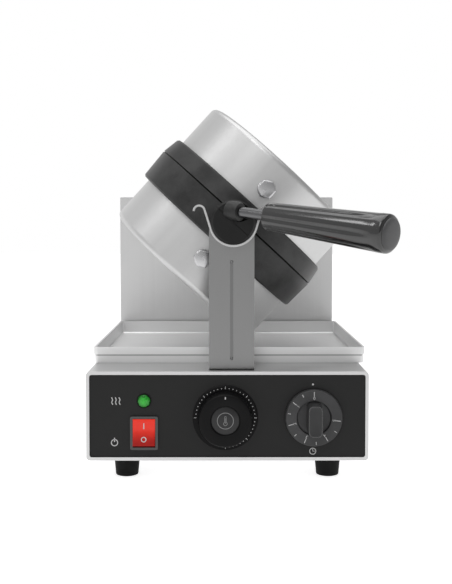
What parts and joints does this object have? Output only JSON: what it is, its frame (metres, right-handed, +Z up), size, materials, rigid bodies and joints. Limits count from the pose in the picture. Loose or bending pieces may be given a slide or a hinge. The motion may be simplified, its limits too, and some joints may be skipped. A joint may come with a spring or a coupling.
{
  "type": "rotating waffle maker",
  "caption": "Round waffle pan in two hinged heated halves that turns over on a front saddle and rear bearing, above a steel base with a drip tray, knobs and a switch.",
  "frame": {"origin": "on the table the feet stand on, below the shaft and below the middle of the whole machine with its handle", "axes": "+Z up, the control panel faces -Y, +X to the right seen from the front"},
  "size_m": [0.2711, 0.4714, 0.3572],
  "materials": {
    "brushed_steel": "brushed",
    "black_fascia": "satin",
    "cast_plate": "seasoned",
    "zinc_steel": "bright",
    "rubber_foot": "matt",
    "black_plastic": "glossy",
    "grey_cap": "satin",
    "red_rocker": "glossy",
    "green_lens": "glossy",
    "chrome_rod": "polished",
    "bronze_bush": "machined",
    "mineral_wool": "fibrous",
    "control_housing": "matt"
  },
  "bodies": {
    "base": {"base_shell": "brushed_steel", "front_panel": "black_fascia", "bottom_plate": "brushed_steel", "feet": "rubber_foot", "foot_screws": "zinc_steel", "base_screws": "zinc_steel", "lamp_body": "control_housing", "lamp_lens": "green_lens", "lamp_nut": "control_housing", "switch_housing": "black_plastic", "thermostat_scale": "black_plastic", "thermostat_body": "control_housing", "timer_body": "control_housing", "front_support": "brushed_steel", "saddle": "brushed_steel", "support_screws": "zinc_steel", "rear_housing": "brushed_steel", "housing_screws": "zinc_steel", "rear_cover": "brushed_steel", "rear_cover_screws": "zinc_steel", "bearing_housing": "zinc_steel", "bearing_bush": "bronze_bush", "bearing_screws": "zinc_steel", "stop_pin": "zinc_steel", "cable_gland": "control_housing", "gland_nut": "control_housing", "terminal_block": "grey_cap"},
    "tray": {"drip_tray": "brushed_steel"},
    "pan": {"lower_casting": "cast_plate", "lower_heater": "zinc_steel", "lower_clamp_plate": "zinc_steel", "lower_clamp_screw": "zinc_steel", "lower_insulation": "mineral_wool", "lower_cover": "brushed_steel", "lower_cover_bolts": "zinc_steel", "rear_shaft": "chrome_rod", "cross_pin": "zinc_steel", "stop_cam": "zinc_steel", "rear_collar": "zinc_steel", "front_collar": "zinc_steel", "hinge_pins": "chrome_rod"},
    "lid": {"upper_casting": "cast_plate", "upper_heater": "zinc_steel", "upper_clamp_plate": "zinc_steel", "upper_clamp_screw": "zinc_steel", "upper_insulation": "mineral_wool", "upper_cover": "brushed_steel", "upper_cover_bolts": "zinc_steel", "handle_rod": "chrome_rod", "handle_nut": "zinc_steel", "handle_grip": "black_plastic", "handle_end_cap": "grey_cap"},
    "thermostat": {"thermostat_knob": "black_plastic", "thermostat_spindle": "zinc_steel"},
    "timer": {"timer_knob": "black_plastic", "timer_spindle": "zinc_steel"},
    "rocker": {"rocker": "red_rocker"}
  },
  "joints": [
    {"name": "pan_turn", "type": "hinge", "parent": "base", "child": "pan", "pos_m": [0, 0.01, 0.2413], "axis": [0, -1, 0], "range_deg": [-137.5, 42.5]},
    {"name": "lid_open", "type": "hinge", "parent": "pan", "child": "lid", "pos_m": [0.00946, 0.122, 0.25162], "axis": [-0.7373, 0, 0.6756], "range_deg": [0, 75]},
    {"name": "tray_slide", "type": "slide", "parent": "base", "child": "tray", "axis": [1, 0, 0], "range_m": [-0.27, 0.27]},
    {"name": "thermostat_turn", "type": "hinge", "parent": "base", "child": "thermostat", "pos_m": [-0.0074, -0.1178, 0.0617], "axis": [0, 1, 0], "range_deg": [-90, 180]},
    {"name": "timer_turn", "type": "hinge", "parent": "base", "child": "timer", "pos_m": [0.0739, -0.1178, 0.062], "axis": [0, 1, 0], "range_deg": [0, 264]},
    {"name": "rocker_tip", "type": "hinge", "parent": "base", "child": "rocker", "pos_m": [-0.0822, -0.1148, 0.0475], "axis": [1, 0, 0], "range_deg": [0, 16]}
  ]
}
